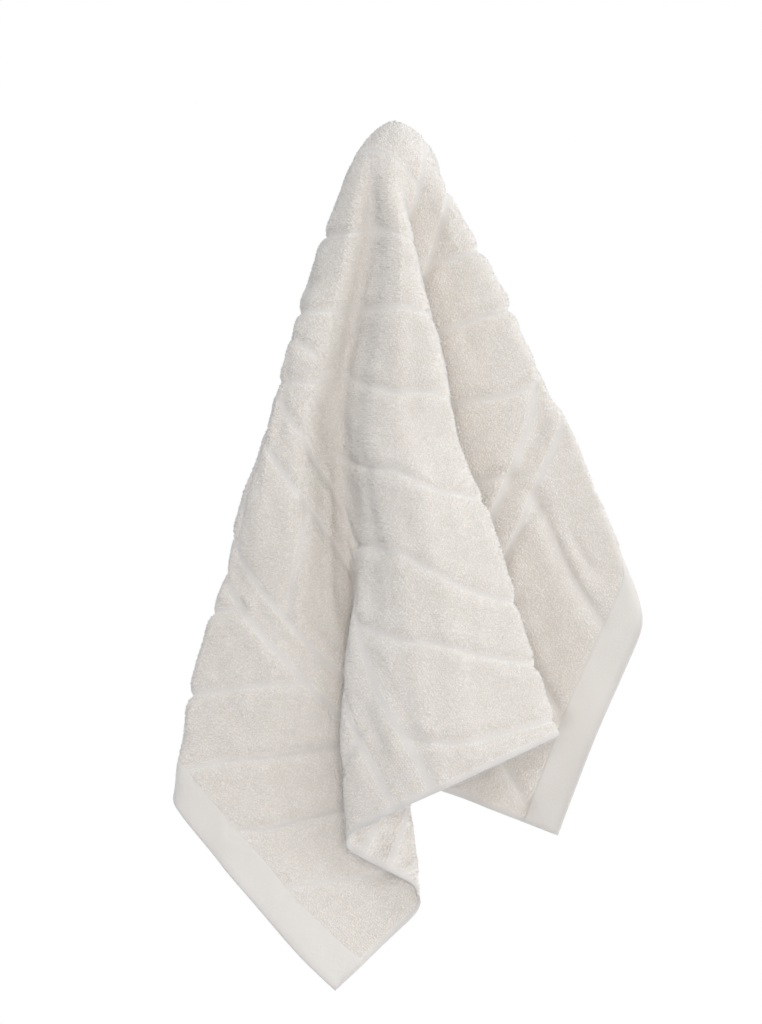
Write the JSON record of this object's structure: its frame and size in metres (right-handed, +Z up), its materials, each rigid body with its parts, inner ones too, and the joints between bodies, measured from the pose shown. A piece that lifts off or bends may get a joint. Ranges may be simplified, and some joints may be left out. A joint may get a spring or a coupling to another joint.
{
  "type": "hand towel",
  "caption": "Cream terry hand towel hanging from a single point, falling in soft deep folds with woven bands, diagonal grooves and hemmed ends.",
  "frame": {"origin": "the hanging point, at the middle of the cloth's thickness at the very top of the drape", "axes": "+Z up; +X to the right as seen from the front; +Y towards the back, so the front of the towel faces -Y"},
  "size_m": [0.324, 0.1442, 0.5979],
  "materials": {
    "terry": "soft looped cotton pile, matt, cream"
  },
  "bodies": {
    "root": {"towel_cloth": "terry"}
  },
  "joints": []
}
